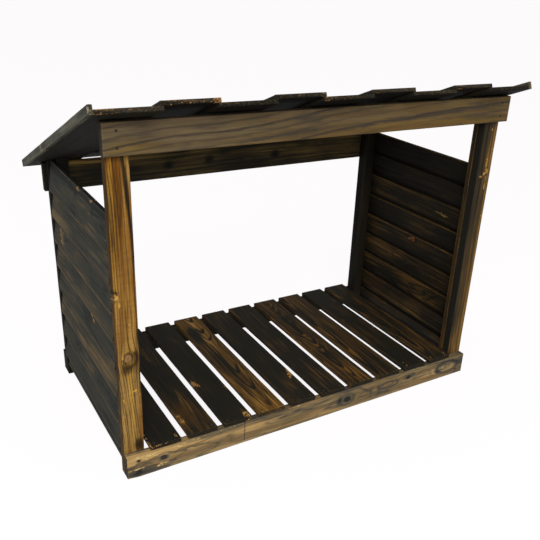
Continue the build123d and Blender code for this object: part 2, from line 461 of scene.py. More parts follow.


# scorched and brushed softwood. Late wood = a smooth rise through each ring and a
# sharp fall at its end; burnt wood spreads where burn level + blotches + streaks + late
# wood pass a threshold, and the burn level holds painted shade on some faces and under laps;
# knots have a black rim and fine rings of their own; worn and raw wood show where corners
# and faces are rubbed, and the light edges are partly a painted highlight; end faces are darker.
def scorchedWood(name, look):
    f = Finish(name)

    def mask(value, key):
        return f.step(value, *woodMasks[key])

    def swing(noise, key):       # noise about its middle, times a value of the look
        return (noise - 0.5) * look[key]

    grain = f.attribute("grain", "Vector")
    heart = f.attribute("heart", "Vector")
    edge = f.attribute("edge")
    tone = f.attribute("tone")
    endFace = f.attribute("endFace")
    rub = f.attribute("rub")
    blotch = f.noise(grain, look["blotchStretch"], 3.0)
    streak = f.noise(grain, look["streakStretch"], 3.0, 0.6)
    fibre = f.noise(grain, look["fibreStretch"], 2.0, 0.6)
    strand = f.noise(grain, look["strandStretch"], 2.0, 0.6)
    band = f.noise(grain, look["bandStretch"])
    ripple = f.noise(grain, look["rippleStretch"], 1.0)
    chip = f.noise(grain, look["chipStretch"], 3.0, 0.6)
    knotGap = f.attribute("knotGap") + swing(chip, "knotChip") + swing(blotch, "knotBlotch")

    # rings: counted from the heart, shaken and unevenly spaced, some years bolder
    flatHeart = f.vector("MULTIPLY", {0: heart, 1: (1.0, 1.0, 0.0)})
    ringCount = f.vector("LENGTH", {0: flatHeart}, 1)
    ringCount = ringCount + f.node("ShaderNodeSeparateXYZ", {}, {0: heart}, 2)
    ringCount = ringCount + swing(streak, "ringShake") + swing(blotch, "ringBend")
    ringCount = ringCount + swing(f.alongLine(ringCount * look["unevenPace"]), "ringUneven")
    bold = mask(f.alongLine(ringCount.whole() * look["boldPace"]), "boldRing")
    phase = ringCount.fraction()
    lateFrom = look["lateFrom"] + (1 - bold) * look["lateDelay"]
    late = f.step(phase, lateFrom, look["lateTo"])
    late = late * (1 - mask(phase, "ringEnd"))
    lateShows = mask(blotch + streak, "lateShows")
    late = late * (look["lateFaint"] + (1 - look["lateFaint"]) * lateShows)
    late = late * (look["yearFaint"] + (1 - look["yearFaint"]) * bold)

    level = f.attribute("burn") + swing(blotch, "blotch")
    level = level + swing(streak, "streak") + late * look["lateBurn"]
    level = level - edge * look["edgeBare"] + swing(fibre, "fibreBurn")
    level = level + (1 - mask(knotGap, "offKnot")) * look["knotBurn"]
    level = level + endFace * look["endBurn"]
    burnt = mask(level, "burnt")

    # bare wood, then char and soot over it, then dark and light fibres
    golden = mask(band + swing(strand, "goldenStrand"), "golden") * look["golden"]
    amber = (1 - mask(band + swing(blotch, "amberBlotch"), "notAmber")) * look["amberShow"]
    colour = f.mix(mask(streak + tone * look["toneShare"], "warm"), look["pale"], look["warm"])
    colour = f.mix(golden, colour, look["raw"])
    colour = f.mix(amber, colour, look["amber"])
    rippled = (look["rippleBelow"] - ripple) * look["ripple"]
    colour = f.mix(rippled.clamped(), colour, look["amber"])
    colour = f.mix((late * look["lateDark"]).clamped(), colour, look["late"])
    colour = f.mix(burnt, colour, look["char"])
    colour = f.mix(mask(level, "sooty"), colour, look["soot"])
    dark = (0.5 - fibre) * look["fibre"] + (look["strandBelow"] - strand) * look["strand"]
    light = (strand - look["strandAbove"]) * look["strandLight"] * (1 - burnt * look["charHides"])
    scratch = mask(fibre + swing(streak, "scratchStreak"), "scratch") * (1 - burnt)
    colour = f.mix(dark.clamped(), colour, look["soot"])
    colour = f.mix(light.clamped(), colour, look["raw"])
    colour = f.mix(scratch * look["scratch"], colour, look["raw"])

    knotYears = knotGap * look["knotYears"] + swing(chip, "knotYearChip")
    knotRings = mask(knotYears.fraction(), "knotRing")
    knotHeart = 1 - mask(knotGap, "pastKnotHeart")
    knotColour = f.mix(knotRings * look["knotRingDark"], look["knot"], look["knotDark"])
    knotColour = f.mix(knotHeart * look["knotHeartDark"], knotColour, look["knotDark"])
    halo = mask(knotGap, "haloFrom") * (1 - mask(knotGap, "haloTo"))
    halo = halo * mask(chip + fibre, "haloShows")
    rim = mask(knotGap, "rimFrom") * (1 - mask(knotGap, "rimTo"))
    colour = f.mix((1 - mask(knotGap, "pastKnot")) * look["knotShow"], colour, knotColour)
    colour = f.mix(halo * look["knotHalo"], colour, look["raw"])
    colour = f.mix(rim * look["knotRim"] * mask(chip, "rimShows"), colour, look["soot"])

    # wear, with light edges that are partly a painted highlight: chips break up its edges, and only
    # near a rub
    nearRub = (rub * look["rubNear"]).clamped()
    rubbed = mask(rub + (chip - 0.5) * nearRub * look["rubChip"], "rubbed")
    cornerWearAndHighlight = mask(edge + swing(blotch, "cornerBlotch") + swing(chip, "cornerChip"), "cornerWearAndHighlight")
    chipTo = look["chipFrom"] + look["chipRise"]
    chips = f.step(chip + swing(streak, "chipStreak"), look["chipFrom"], chipTo)
    wornAndHighlight = (cornerWearAndHighlight * look["edgeShow"]).orMore(endFace * chips * look["endChips"])
    rubColour = f.mix(mask(fibre + chip, "rubbedRaw"), look["wornAndHighlight"], look["raw"])
    colour = f.mix(wornAndHighlight, colour, look["wornAndHighlight"])
    colour = f.mix(rubbed * look["rubShow"], colour, rubColour)

    rough = look["roughBare"] + burnt * (look["roughBurnt"] - look["roughBare"])
    height = (1 - late) * look["latePit"] + fibre * look["fibrePit"] + streak * look["streakPit"]
    height = height - rim * look["rimPit"] - rubbed * look["rubPit"]
    relief = {"Strength": look["bump"], "Distance": look["bumpDepth"], "Height": height}
    f.feed("Base Color", colour)
    f.feed("Roughness", rough + swing(fibre, "roughFibre"))
    f.feed("Specular IOR Level", look["gloss"])
    f.feed("Normal", f.node("ShaderNodeBump", {}, relief))
    return f.material


# what every finish starts from; a name that ends in a noise's own name says how far that
# noise breaks it up
woodLook = {
    "pale": (178, 128, 58),
    "warm": (140, 88, 34),
    "late": (66, 40, 18),
    "char": (52, 38, 25),
    "soot": (26, 24, 21),
    "raw": (196, 152, 96),
    # worn corners and rubs; on lit edges also a painted highlight
    "wornAndHighlight": (130, 92, 46),
    "knot": (150, 108, 66),
    "knotDark": (64, 42, 28),
    "amber": (112, 70, 28),
    # noises, in waves to the metre: along, across and through the board
    "blotchStretch": (7.0, 22.0, 22.0),
    "streakStretch": (4.0, 110.0, 110.0),
    "fibreStretch": (18.0, 700.0, 700.0),
    "strandStretch": (9.0, 300.0, 300.0),
    "bandStretch": (2.2, 55.0, 55.0),
    "rippleStretch": (190.0, 40.0, 40.0),
    "chipStretch": (110.0, 230.0, 230.0),
    # rings and their late wood
    "ringShake": 0.5,
    "ringBend": 0.9,
    "ringUneven": 1.4,
    "unevenPace": 0.45,      # noise steps to a ring, for its width and its boldness
    "boldPace": 0.73,
    "yearFaint": 0.3,
    "lateFrom": 0.45,
    "lateTo": 0.93,
    "lateDelay": 0.22,       # how much later it begins in a faint year
    "lateFaint": 0.35,
    "lateDark": 0.9,
    # burnt wood
    "blotch": 0.9,
    "streak": 0.7,
    "lateBurn": 0.3,
    "fibreBurn": 0.35,
    "knotBurn": 0.2,
    "endBurn": 0.5,
    "edgeBare": 0.2,
    # bare wood and fibres
    "toneShare": 0.7,
    "golden": 0.3,
    "goldenStrand": 0.3,
    "amberShow": 0.4,
    "amberBlotch": 0.5,
    "ripple": 0.0,
    "rippleBelow": 0.55,     # ripples show where their noise is below this
    "fibre": 0.8,
    "strand": 1.4,
    "strandBelow": 0.47,     # strands are dark below this, light above the next
    "strandAbove": 0.55,
    "strandLight": 0.8,
    "charHides": 0.85,       # share of the light strands lost under char
    "scratch": 0.25,
    "scratchStreak": 0.5,
    # knots
    "knotChip": 0.7,
    "knotBlotch": 0.6,
    "knotYears": 3.0,        # rings from a knot's middle to its edge
    "knotYearChip": 1.6,
    "knotRingDark": 0.6,
    "knotHeartDark": 0.7,
    "knotShow": 0.85,
    "knotRim": 0.8,
    "knotHalo": 0.25,
    # wear
    "edgeShow": 0.7,
    "cornerBlotch": 1.2,
    "cornerChip": 0.7,
    "endChips": 0.6,
    "chipFrom": 0.52,
    "chipRise": 0.28,
    "chipStreak": 0.4,
    "rubNear": 4.0,          # how soon chips take hold where a rub begins
    "rubChip": 2.8,
    "rubShow": 0.9,
    # surface; the pits are each one's share of the bump
    "roughBare": 0.58,
    "roughBurnt": 0.66,
    "roughFibre": 0.2,
    "gloss": 0.08,
    "bump": 0.45,
    "bumpDepth": 0.8 * mm,
    "latePit": 0.55,
    "fibrePit": 0.5,
    "streakPit": 0.3,
    "rimPit": 0.5,
    "rubPit": 0.25,
}

postFinish = scorchedWood("postWood", {
    **woodLook, "pale": (158, 124, 68), "warm": (120, 71, 6), "wornAndHighlight": (190, 158, 92),
    "late": (42, 26, 12), "char": (60, 43, 22), "streak": 1.1, "lateFrom": 0.50, "lateFaint": 0.6,
    "lateDark": 1.0, "yearFaint": 0.45, "strand": 1.8, "edgeShow": 0.3, "knot": (150, 112, 72),
    "knotDark": (74, 52, 38), "raw": (192, 146, 60), "knotHalo": 0.2, "knotRim": 0.25, "fibre": 1.0,
    "scratch": 0.4, "golden": 0.6, "amber": (106, 58, 9), "amberShow": 0.6, "ripple": 0.9,
    "ringUneven": 1.8,
})
rightPostFinish = scorchedWood("rightPostWood", {
    **woodLook, "pale": (148, 110, 52), "warm": (116, 84, 36), "late": (46, 38, 25),
    "char": (63, 51, 34), "streak": 1.0, "soot": (32, 30, 25), "raw": (190, 144, 74),
    "edgeShow": 0.12, "amber": (106, 74, 30), "lateBurn": 0.5, "strand": 1.8,
})
railFinish = scorchedWood("railWood", {
    **woodLook, "pale": (179, 144, 93), "warm": (109, 96, 70), "late": (64, 57, 47),
    "char": (76, 70, 61), "soot": (44, 42, 39), "knot": (50, 46, 42), "knotDark": (34, 32, 30),
    "lateBurn": 0.25, "lateDark": 0.8, "blotch": 2.2, "streak": 1.1, "ringBend": 1.8,
    "wornAndHighlight": (176, 136, 78), "raw": (216, 186, 124), "edgeShow": 0.35, "knotHalo": 0.1,
    "blotchStretch": (10.0, 30.0, 30.0), "scratch": 0.3, "knotRim": 0.0, "knotShow": 0.7,
    "amber": (106, 80, 50), "golden": 0.25, "amberShow": 0.5,
})
headerFinish = scorchedWood("headerWood", {
    **woodLook, "pale": (96, 82, 60), "warm": (104, 82, 42), "late": (42, 36, 33),
    "char": (66, 57, 46), "soot": (43, 38, 33), "wornAndHighlight": (116, 86, 48), "raw": (116, 96, 64),
    "lateFrom": 0.42, "lateFaint": 0.6, "ringShake": 0.45, "ringBend": 0.6, "blotch": 1.2,
    "streak": 1.1, "fibre": 1.3, "lateBurn": 0.35, "scratch": 0.5,
    "blotchStretch": (12.0, 45.0, 45.0), "amber": (88, 66, 44), "golden": 0.45, "yearFaint": 0.15,
    "streakStretch": (2.2, 70.0, 70.0), "lateDark": 1.0,
})
# slats: charred, with two finishes for the few that took less of the flame
slatGrain = {
    **woodLook, "pale": (146, 102, 44), "warm": (96, 65, 27), "late": (30, 23, 15),
    "char": (38, 35, 27), "lateDark": 1.0, "lateBurn": 0.45, "soot": (29, 29, 25),
    "knot": (132, 88, 44), "knotDark": (70, 46, 26), "wornAndHighlight": (126, 86, 40), "endChips": 0.35,
    "raw": (198, 148, 78), "knotShow": 0.7, "knotHalo": 0.0, "amber": (86, 56, 24), "edgeShow": 0.5,
    "golden": 0.4, "strand": 1.7, "strandLight": 1.2, "chipStretch": (150.0, 300.0, 300.0),
}
goldenSlatGrain = {
    **slatGrain, "pale": (146, 104, 44), "warm": (100, 70, 27), "amber": (80, 55, 23),
    "lateFrom": 0.48, "lateFaint": 0.5, "yearFaint": 0.6, "blotch": 0.7, "streak": 0.9,
    "ringBend": 1.1, "lateBurn": 1.0, "golden": 0.5, "strand": 2.2, "strandLight": 1.6,
}
slatFinishes = {
    "charred": scorchedWood("slatWood", slatGrain),
    "golden": scorchedWood("goldenSlatWood", goldenSlatGrain),
    "streaked": scorchedWood("streakedSlatWood", {
        **goldenSlatGrain, "pale": (178, 122, 48), "lateFrom": 0.25, "lateFaint": 0.75,
        "yearFaint": 0.8, "streak": 1.2,
    }),
}
backHeaderFinish = scorchedWood("backHeaderWood", {
    **woodLook, "pale": (144, 116, 62), "warm": (72, 63, 44), "late": (32, 29, 22),
    "char": (41, 38, 32), "soot": (26, 25, 20), "knot": (34, 30, 22), "knotDark": (22, 20, 16),
    "wornAndHighlight": (96, 80, 40), "raw": (150, 124, 62), "knotHalo": 0.0, "amber": (62, 50, 29),
    "endChips": 0.1, "edgeShow": 0.4, "streak": 0.4, "golden": 0.15, "amberShow": 0.3,
})
sideFinish = scorchedWood("sideWood", {
    **woodLook, "pale": (104, 92, 66), "warm": (84, 70, 49), "late": (42, 41, 36),
    "char": (56, 56, 50), "soot": (36, 38, 36), "knot": (84, 68, 46), "knotDark": (34, 33, 30),
    "wornAndHighlight": (108, 90, 60), "raw": (154, 122, 78), "streak": 1.0, "endBurn": 0.7, "edgeShow": 0.85,
    "blotch": 1.6, "knotHalo": 0.0, "amber": (92, 70, 40), "strand": 1.6, "strandLight": 2.0,
    "scratch": 0.6, "strandStretch": (6.0, 260.0, 260.0), "lateBurn": 0.45,
})
# the right boards seen from inside, the back posts and the battens: darker colours, partly painted
# shade inside the store
sideInnerFinish = scorchedWood("sideInnerWood", {
    **woodLook, "pale": (120, 90, 44), "warm": (80, 58, 28), "late": (23, 20, 15),
    "char": (33, 29, 22), "soot": (20, 18, 15), "knot": (124, 72, 38), "knotDark": (52, 32, 20),
    "wornAndHighlight": (104, 79, 38), "edgeShow": 0.85, "blotch": 1.0, "streak": 0.8, "knotHalo": 0.0,
    "raw": (150, 118, 60), "amber": (84, 57, 24), "lateDark": 1.0,
    "streakStretch": (3.0, 130.0, 130.0), "strand": 1.6, "strandLight": 0.6, "lateBurn": 0.6,
})
# the roof's soot is near black; on the undersides it stands for painted shade
roofFinish = scorchedWood("roofWood", {
    **woodLook, "pale": (86, 73, 52), "warm": (68, 58, 42), "late": (36, 34, 28),
    "char": (40, 38, 31), "soot": (16, 16, 13), "wornAndHighlight": (106, 82, 50), "raw": (150, 108, 60),
    "edgeShow": 0.4, "chipFrom": 0.49, "amber": (72, 54, 32),
})
vergeFinish = scorchedWood("vergeWood", {
    **woodLook, "pale": (100, 99, 86), "warm": (82, 81, 70), "late": (46, 47, 42),
    "char": (56, 58, 53), "soot": (37, 38, 34), "wornAndHighlight": (116, 96, 64), "raw": (140, 132, 110),
    "endBurn": 0.1, "blotch": 2.8, "fibre": 1.1, "chipFrom": 0.42, "amber": (78, 70, 54),
    "golden": 0.15,
})
print("finishes made")


def boxOf(node):
    low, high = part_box(node)
    return np.array(low), np.array(high)


def middleOf(node):
    low, high = boxOf(node)
    return (low + high) / 2


roofAngle = math.radians(21.2)       # the roof's fall, which posts and headers follow
roofFall = math.tan(roofAngle)
front, back, left, right, up = (0, -1, 0), (0, 1, 0), (-1, 0, 0), (1, 0, 0), (0, 0, 1)


def rectangle(wide, thick):
    v, w = wide / 2, thick / 2
    return [(-v, -w), (v, -w), (v, w), (-v, w)]


# a square-sawn board from its solid's box: its place is (start, along, across, show)
def squareSawn(node, along, show, topCut=False):
    low, high = boxOf(node)
    along, show = unit(*along), unit(*show)
    across = np.cross(show, along)
    size = high - low
    length, wide, thick = [float(abs(way) @ size) for way in (along, across, show)]
    middle = middleOf(node)
    cut = (0.0, 0.0)
    if topCut:
        length -= roofFall * size[1] / 2     # the box ends at the top's highest edge
        middle[2] = length / 2 + low[2]
        cut = (-roofFall * across[1], -roofFall * show[1])
    place = (middle - along * length / 2, along, across, show)
    return dict(place=place, outline=rectangle(wide, thick), length=length, cut=cut)


nailSpots = {"nailHead": [], "nailHoleShade": []}    # (point on the board, way it faces)


# two nails of a kind, this far to each side of a point
def nailPair(kind, point, aside, way):
    for sign in (-1, 1):
        nailSpots[kind].append((np.array(point) + sign * np.array(aside), way))


# two punched nails, one above the other, near each end of a front or back board, shown as
# near-black discs of painted shade in their holes
def endNails(node, look):
    low, high = boxOf(node)
    face, way = (low[1], front) if "front" in node else (high[1], back)
    for x in (low[0] + look["nailIn"] * mm, high[0] - look["nailIn"] * mm):
        nailPair("nailHoleShade", (x, face, middleOf(node)[2]), (0, 0, look["nailApart"] * mm), way)


# posts: along is up from the foot, across is to the left as seen from the front
postWoods = {
    "post_front_left": {
        "seed": 3, "pith": (-52.0, -34.0), "ringWidth": 5.6, "drift": 0.045, "sway": 6.0,
        "swayPerMetre": 1.1, "burn": 0.24, "burnSwing": 0.1, "tone": 0.35, "toneDrift": 0.9,
        # the extra burn on its side faces, and the long spot at across 29 on its left face, are
        # painted shade
        "edgeLight": 0.2, "faceBurnAndShade": (0.22, 0.3, 0.0, 0.3),
        "knots": ((317, 2, 10, 0.9), (466, 22, 5, 0.85)),
        "rims": ((313, -2, 17, 17, 0.3), (474, 23, 10, 7, 0.9)),
        "tones": ((760, -18, 70, 6, -0.4), (700, 20, 160, 6, 0.8), (200, 6, 120, 24, -0.5)),
        "spots": (
            (690, -15, 150, 2.6, 1.3, 0.076), (560, -26, 60, 4, 1.0), (373, -26, 22, 5, 1.3),
            (255, -25, 50, 4, 0.9), (79, -14, 16, 12, 1.0), (740, -29, 70, 3, 1.2),
            (420, 29, 900, 3.5, 0.9), (290, 4, 14, 20, 0.5), (319, -15, 15, 6, 0.6),
            (640, 10, 120, 12, 0.15), (40, 12, 30, 20, 0.2), (560, 22, 120, 5, 0.3),
            (780, 0, 12, 30, 0.4),
        ),
        "rubs": (
            (224, 8, 2, 13, 1.3), (208, 16, 14, 1.6, 1.2), (215, -22, 4, 3, 1.2),
            (468, 19, 8, 4, 1.2), (230, -12, 2.5, 6, 1.2), (452, 14, 6, 2.5, 1.1),
            (315, 14, 12, 3, 0.8), (150, 20, 60, 3, 0.5), (400, -6, 6, 4, 0.7),
        ),
    },
    "post_front_right": {
        "seed": 11, "pith": (34.0, -26.0), "ringWidth": 7.0, "sway": 3.0, "burn": 0.97,
        # the extra burn on its left face, which is turned into the store, is painted shade
        "edgeLight": 0.3, "faceBurnAndShade": (0.9, 0.0, 0.0, 0.0),
        "spots": (
            (380, -22, 620, 13, -0.85), (200, -2, 260, 12, -0.25), (650, -6, 90, 9, -0.2),
            (760, 24, 100, 4, 0.3), (420, -12, 500, 2.5, 0.4),
        ),
        "rubs": (
            (624, 8, 3, 7, 1.2), (631, -6, 3, 8, 1.3), (640, -12, 6, 3, 1.1), (662, -6, 18, 3, 1.2),
            (600, -11, 24, 2.5, 0.9), (750, -6, 4, 3, 1.2), (690, -18, 30, 2, 0.6),
            (505, -18, 5, 3, 0.7),
        ),
    },
    # burnt nearly black: partly painted shade at the back of the store
    "post_back_left": {"seed": 17, "burn": 1.5, "pith": (40.0, -30.0), "edgeLight": 0.1},
    "post_back_right": {"seed": 23, "burn": 1.2, "pith": (-40.0, -36.0), "edgeLight": 0.1},
}
battenWoods = {
    "batten_front_left": {"burn": 0.8},
    # the wide light edge here is a painted highlight on a face that catches the light
    "batten_front_right": {"burn": 0.62, "edgeLight": 0.6, "edgeReach": 7.0, "tone": 0.6},
    # burnt darker than the front battens: partly painted shade at the back of the store
    "batten_back_left": {"burn": 1.1, "edgeLight": 0.3},
    "batten_back_right": {"burn": 1.0, "edgeLight": 0.25},
}
postLook = {"nailAt": (0.528, 0.752)}    # the front right post's nail: aside and up, in metres
postFinishes = {"post_front_left": postFinish, "post_front_right": rightPostFinish}
for node, wood in postWoods.items():
    finish = postFinishes.get(node, sideInnerFinish)
    makeBoard(node, "post", finish, wood, **squareSawn(node, up, front, True))
for k, (node, wood) in enumerate(battenWoods.items()):
    wood = {"seed": 31 + 4 * k, "pith": (30.0, -25.0), **wood}
    makeBoard(node, "batten", sideInnerFinish, wood, **squareSawn(node, up, front, True))
nailX, nailZ = postLook["nailAt"]
nailSpots["nailHead"].append(((nailX, boxOf("post_front_right")[0][1], nailZ), front))
print("posts made")

# rails: along is to the right, across is up
railLook = {"nailIn": 28.0, "nailApart": 15.5}
railWoods = {
    "rail_front": {
        "seed": 41, "pith": (-6.0, -52.0), "ringWidth": 6.5, "sway": 10.0, "swayPerMetre": 1.6,
        "taper": 0.018, "burn": 0.22, "burnSwing": 0.15, "tone": 0.6, "toneDrift": 0.2,
        "edgeLight": 0.6, "faceBurnAndShade": (0.35, 0.4, 0.0, 0.4), "capBurn": 0.5,
        "knots": ((91, 4, 7.5, 0.8), (638, 0, 9, 0.8), (860, 9, 7, 0.8)),
        "eyes": (
            (1016, 2, 46, 20, 22.0), (786, 5, 40, 12, 12.0), (704, 2, 34, 22, -9.0),
            (200, -8, 60, 14, 9.0), (440, 6, 60, 12, 8.0),
        ),
        "rims": (
            (1014, 2, 42, 19, 0.85), (786, 5, 36, 9, 0.8), (634, 0, 27, 16, 0.3),
            (866, 7, 18, 15, 0.3),
        ),
        "tones": (
            (85, 16, 110, 11, -1.4), (250, 24, 90, 8, 0.6), (330, 10, 60, 14, -0.5),
            (560, -14, 70, 12, -0.4), (930, 0, 40, 20, -0.3),
        ),
        "spots": (
            (386, 22, 60, 8, 0.7), (60, -24, 100, 9, 0.55), (250, 2, 60, 6, 0.5, 0.22),
            (482, -20, 50, 8, 0.5), (505, 8, 36, 5, 0.5, -0.2), (20, -20, 22, 10, 0.4),
            (110, 16, 100, 12, -0.35), (330, 12, 70, 14, -0.35), (600, 26, 70, 7, 0.4),
            (1072, 10, 14, 20, 0.6), (1008, -3, 16, 5, 0.7), (786, 3, 16, 3, 0.6),
            (640, 0, 21, 11, 1.2), (860, 9, 13, 8, 1.1), (984, -6, 16, 9, 0.7),
            (612, 2, 8, 14, 0.5), (700, 13, 18, 4, 0.8, -0.5), (720, 1, 6, 14, 0.7),
            (688, -4, 12, 3, 0.6, 0.4), (876, 14, 10, 6, 0.5), (91, 4, 14, 9, 0.9),
            (28, 15.5, 6, 5, 1.2), (28, -15.5, 6, 5, 0.9), (1072, -15.5, 5, 4, 0.9),
        ),
        "rubs": (
            (84, -15, 18, 5, 0.8), (22, -8, 18, 2, 1.1), (262, 29, 90, 3, 0.3),
            (820, -30, 90, 3, 0.35), (60, 20, 24, 6, 0.75), (128, 22, 22, 5, 0.6),
            (30, 24, 14, 4, 0.8), (175, 26, 30, 3, 0.45), (470, 29, 60, 3, 0.35),
            (900, 29, 60, 3, 0.35),
        ),
        "grooves": ((312, -25, 33),), "losses": ((0, -31.5, 16, 9, 3.0),),
    },
    "rail_back": {"seed": 47, "burn": 1.1, "tone": 0.4, "capBurn": 1.0},
}
for node, wood in railWoods.items():
    finish = railFinish if "front" in node else slatFinishes["charred"]
    makeBoard(node, "rail", finish, wood, **squareSawn(node, right, front))
    endNails(node, railLook)
print("rails made")

# headers: the top is level for so far, then falls with the roof
headerLook = {"levelFront": 18.0, "levelBack": 13.2, "nailIn": 28.0, "nailApart": 17.0}
headerWoods = {
    "header_front": {
        "seed": 53, "pith": (-100.0, -60.0), "ringWidth": 15.0, "drift": 0.085, "sway": 9.0,
        "swayPerMetre": 0.9, "burn": 0.33, "tone": 0.3, "toneDrift": 0.6, "edgeLight": 0.35,
        "capBurn": 0.5, "faceBurnAndShade": (0.3, 0.2, 0.0, 0.3),
        "tones": ((780, -26, 380, 13, 0.9), (250, -38, 260, 6, 0.8), (60, -16, 60, 14, 0.8)),
        "spots": (
            (40, -20, 50, 12, -0.2), (150, 0, 160, 40, 0.12), (1050, 0, 40, 40, 0.2),
            (330, -22, 200, 5, 0.45, 0.06), (800, 0, 220, 6, 0.35, 0.05),
        ),
    },
    "header_back": {
        "seed": 59, "pith": (10.0, -40.0), "ringWidth": 6.0, "burn": 0.74, "edgeLight": 0.1,
        "capBurn": 1.8,
        "spots": (
            (60, 34, 230, 7, -1.4), (0, 0, 26, 60, 2.4), (349, 0, 11, 9, 0.9), (479, 4, 11, 9, 0.8),
            (706, 2, 12, 9, 0.9), (800, 10, 200, 20, -0.2),
        ),
        "tones": ((60, 33, 230, 9, -0.6),),
    },
}
for node, wood in headerWoods.items():
    made = squareSawn(node, right, front)
    finish, flat = headerFinish, headerLook["levelFront"] * mm
    if node == "header_back":
        finish, flat = backHeaderFinish, headerLook["levelBack"] * mm
    v, w = made["outline"][2]
    slopeEnd = (v - (2 * w - flat) * roofFall, -w)
    made["outline"] = [(-v, -w), slopeEnd, (v, w - flat), (v, w), (-v, w)]
    makeBoard(node, "header", finish, wood, **made)
    endNails(node, headerLook)
print("headers made")

# floor slats: along is from the front to the back, across is to the left
slatLook = {"nailIn": 10.0, "nailApart": 27.0}
slatWoods = [
    {"burn": 1.2, "pith": (20.0, -40.0), "rubs": ((200, 39, 400, 2.6, 0.7), (14, -30, 8, 4, 0.7))},
    {
        "burn": 0.86, "tone": 0.9, "taper": 0.02,
        "spots": ((60, 6, 120, 26, -0.1), (500, 0, 80, 40, 0.2)),
        "rubs": ((84, 33, 10, 5, 0.95), (61, 32, 9, 6, 1.0), (50, 33, 7, 5, 0.6)),
    },
    {
        "burn": 1.06, "edgeLight": 0.45, "spots": ((16, -28, 22, 9, -0.5),),
        "knots": ((20, -26, 6, 0.6),),
        "rubs": (
            (10, -29, 15, 9, 1.1), (203, 34, 13, 6, 1.2), (188, 28, 7, 7, 0.8),
            (150, -36, 24, 3, 0.7),
        ),
    },
    {
        "burn": 0.46, "tone": 0.6, "pith": (-8.0, -24.0), "ringWidth": 4.8, "finish": "golden",
        "sway": 7.0, "swayPerMetre": 2.2, "taper": 0.05,
        "spots": (
            (444, 20, 55, 16, 0.7), (470, 8, 30, 20, 0.4), (240, 10, 120, 14, 0.3),
            (90, -10, 60, 8, 0.2), (20, 0, 30, 40, -0.25),
        ),
        "eyes": ((455, 18, 30, 12, 12.0),),
    },
    {
        "burn": 0.98, "spots": ((90, -12, 70, 20, -0.1),),
        "rubs": ((124, -31, 12, 7, 1.0), (142, -35, 16, 3, 1.0), (110, -24, 8, 3, 0.8)),
    },
    {"burn": 0.96, "spots": ((300, 0, 200, 14, -0.12),)},
    {
        "burn": 0.63, "tone": 0.6, "pith": (2.0, -24.0), "ringWidth": 3.8, "finish": "streaked",
        "sway": 7.0, "swayPerMetre": 2.4, "taper": 0.05, "knots": ((299, 4, 8, 0.8),),
        "spots": ((400, 0, 60, 20, 0.3), (60, 0, 60, 30, -0.1)), "rubs": ((215, 34, 10, 4, 0.7),),
    },
    {
        "burn": 0.65, "tone": 0.65, "pith": (30.0, -30.0), "ringWidth": 4.2, "finish": "streaked",
        "taper": 0.02,
    },
    {
        "burn": 0.95,
        "rubs": (
            (11, 24, 6, 4, 0.6), (24, 22, 5, 4, 0.6), (246, -34, 14, 3, 0.5),
            (470, -30, 30, 3, 0.5), (330, 30, 12, 4, 0.4),
        ),
    },
    {
        "burn": 0.86, "tone": 0.6, "pith": (22.0, -28.0), "finish": "streaked", "burnSwing": 0.25,
        "sway": 6.0, "swayPerMetre": 2.0, "taper": 0.04, "eyes": ((444, 10, 50, 12, 12.0),),
        "spots": ((50, 0, 70, 30, -0.35), (260, 20, 120, 10, 0.2)),
        "rubs": ((10, 26, 6, 4, 0.7), (14, -30, 6, 4, 0.6)),
    },
]
for k, wood in enumerate(slatWoods):
    node = f"floor_slat_{k + 1:02d}"
    finish = slatFinishes[wood.get("finish", "charred")]
    wood = {"seed": 61 + 3 * k, **wood}
    makeBoard(node, "floor_slat", finish, wood, **squareSawn(node, back, up))
    low, high = boxOf(node)
    aside = (slatLook["nailApart"] * mm, 0, 0)
    for y in (low[1] + slatLook["nailIn"] * mm, high[1] - slatLook["nailIn"] * mm):
        nailPair("nailHead", (middleOf(node)[0], y, high[2]), aside, up)
print("slats made")

# side boards: across is up each board, which leans out over the one below
sideBuild = {"thick": 10.0, "nailUp": 26.0}
# on each side, burn and edgeLight are ranges, and lap is how far up the painted shade under the lap
# lies
sideLook = {
    "left": {
        "outward": left, "finish": sideFinish, "seed": 101, "lap": 71.0, "edgeReach": 5.5,
        # the light edges of the left boards are partly a painted highlight
        "burn": (0.50, 0.95), "edgeLight": (0.80, 0.98), "faceBurnAndShade": (0.0, 0.0, 0.0, 0.3),
    },
    "right": {
        "outward": right, "finish": sideInnerFinish, "seed": 151, "lap": 9.0, "edgeReach": 4.0,
        "burn": (0.65, 0.95), "edgeLight": (0.15, 0.85), "faceBurnAndShade": (0.0, 0.0, -0.25, 0.0),
    },
}
